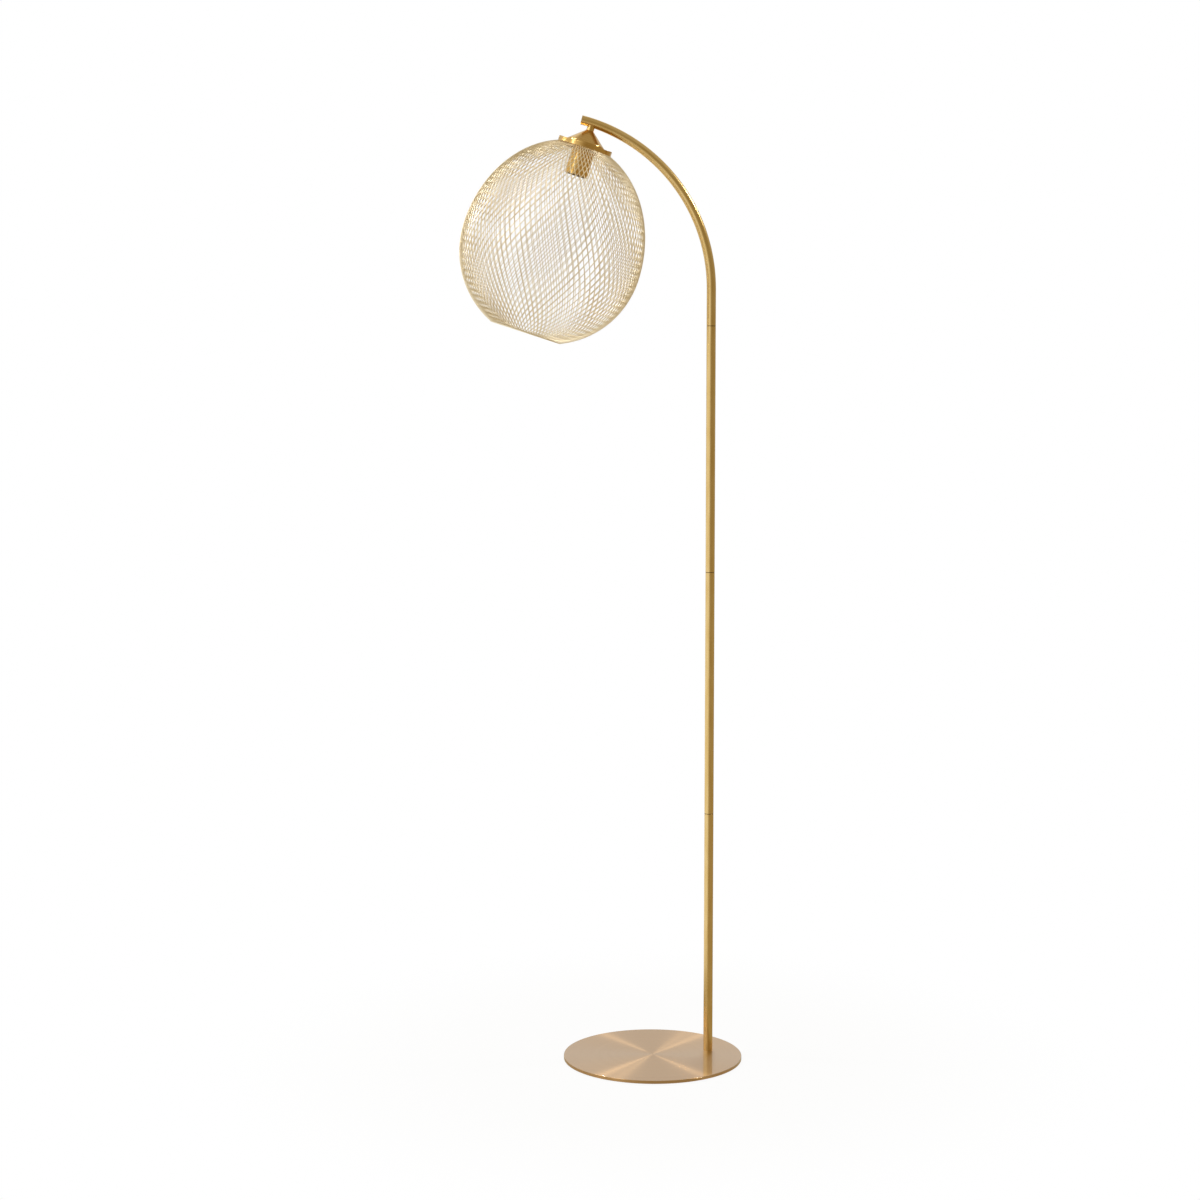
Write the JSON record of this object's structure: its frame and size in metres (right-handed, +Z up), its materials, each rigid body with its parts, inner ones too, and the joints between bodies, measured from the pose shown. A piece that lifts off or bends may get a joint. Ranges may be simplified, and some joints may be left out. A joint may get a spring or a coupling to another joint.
{
  "type": "floor lamp",
  "caption": "Floor lamp with a round base, a sectioned pole set off centre, a bent swivelling arm and a tilted open globe of crossing wires.",
  "frame": {"origin": "centre of the base's underside, on the floor", "axes": "+Z up along the pole, the arm reaches towards -X, -Y is the front"},
  "size_m": [0.4611, 0.3198, 1.5419],
  "materials": {
    "brushed_base": "turned and brushed, satin",
    "brass_tube": "plated, satin gloss",
    "brass_fitting": "plated, polished",
    "cage_wire": "plated, pale satin",
    "zinc_steel": "zinc plated",
    "floor_pad": "dense foam, matt",
    "black_plastic": "moulded, matt",
    "white_ceramic": "glazed",
    "contact_metal": "nickelled brass, dull"
  },
  "bodies": {
    "stand": {"base_plate": "brushed_base", "base_pad": "floor_pad", "foot_bolt": "zinc_steel", "foot_plug": "zinc_steel", "pole_section_lower": "brass_tube", "pole_section_middle": "brass_tube", "pole_section_upper": "brass_tube", "joint_insert_lower": "zinc_steel", "joint_insert_middle": "zinc_steel", "joint_insert_upper": "zinc_steel", "joint_stud_lower": "zinc_steel", "joint_stud_middle": "zinc_steel", "cable_grommet": "black_plastic"},
    "arm": {"joint_stud_upper": "zinc_steel", "arm_tube": "brass_tube", "arm_end_plug": "brass_fitting", "neck_boss": "brass_fitting", "threaded_nipple": "zinc_steel", "lock_nut": "zinc_steel", "canopy": "brass_fitting", "fitter_disc": "brass_fitting", "socket_sleeve": "brass_fitting", "holder_cap": "black_plastic", "holder_body": "black_plastic", "contact_block": "white_ceramic", "screw_shell": "contact_metal", "terminal_screws": "contact_metal", "centre_contact": "contact_metal", "globe_top_ring": "brass_fitting", "globe_mouth_ring": "cage_wire", "globe_outer_wires": "cage_wire", "globe_inner_wires": "cage_wire", "globe_screws": "brass_fitting"},
    "left_nut": {"globe_nut_left": "brass_fitting"},
    "right_nut": {"globe_nut_right": "brass_fitting"}
  },
  "joints": [
    {"name": "arm_swivel", "type": "hinge", "parent": "stand", "child": "arm", "pos_m": [0.09273, 0.02485, 1.2062], "axis": [0, 0, 1], "range_deg": [0, 180]},
    {"name": "left_nut_turn", "type": "hinge", "parent": "arm", "child": "left_nut", "pos_m": [-0.14916, 0.02485, 1.5074], "axis": [0.309, 0, 0.9511], "continuous": true},
    {"name": "right_nut_turn", "type": "hinge", "parent": "arm", "child": "right_nut", "pos_m": [-0.07213, 0.02485, 1.48236], "axis": [0.309, 0, 0.9511], "continuous": true}
  ]
}
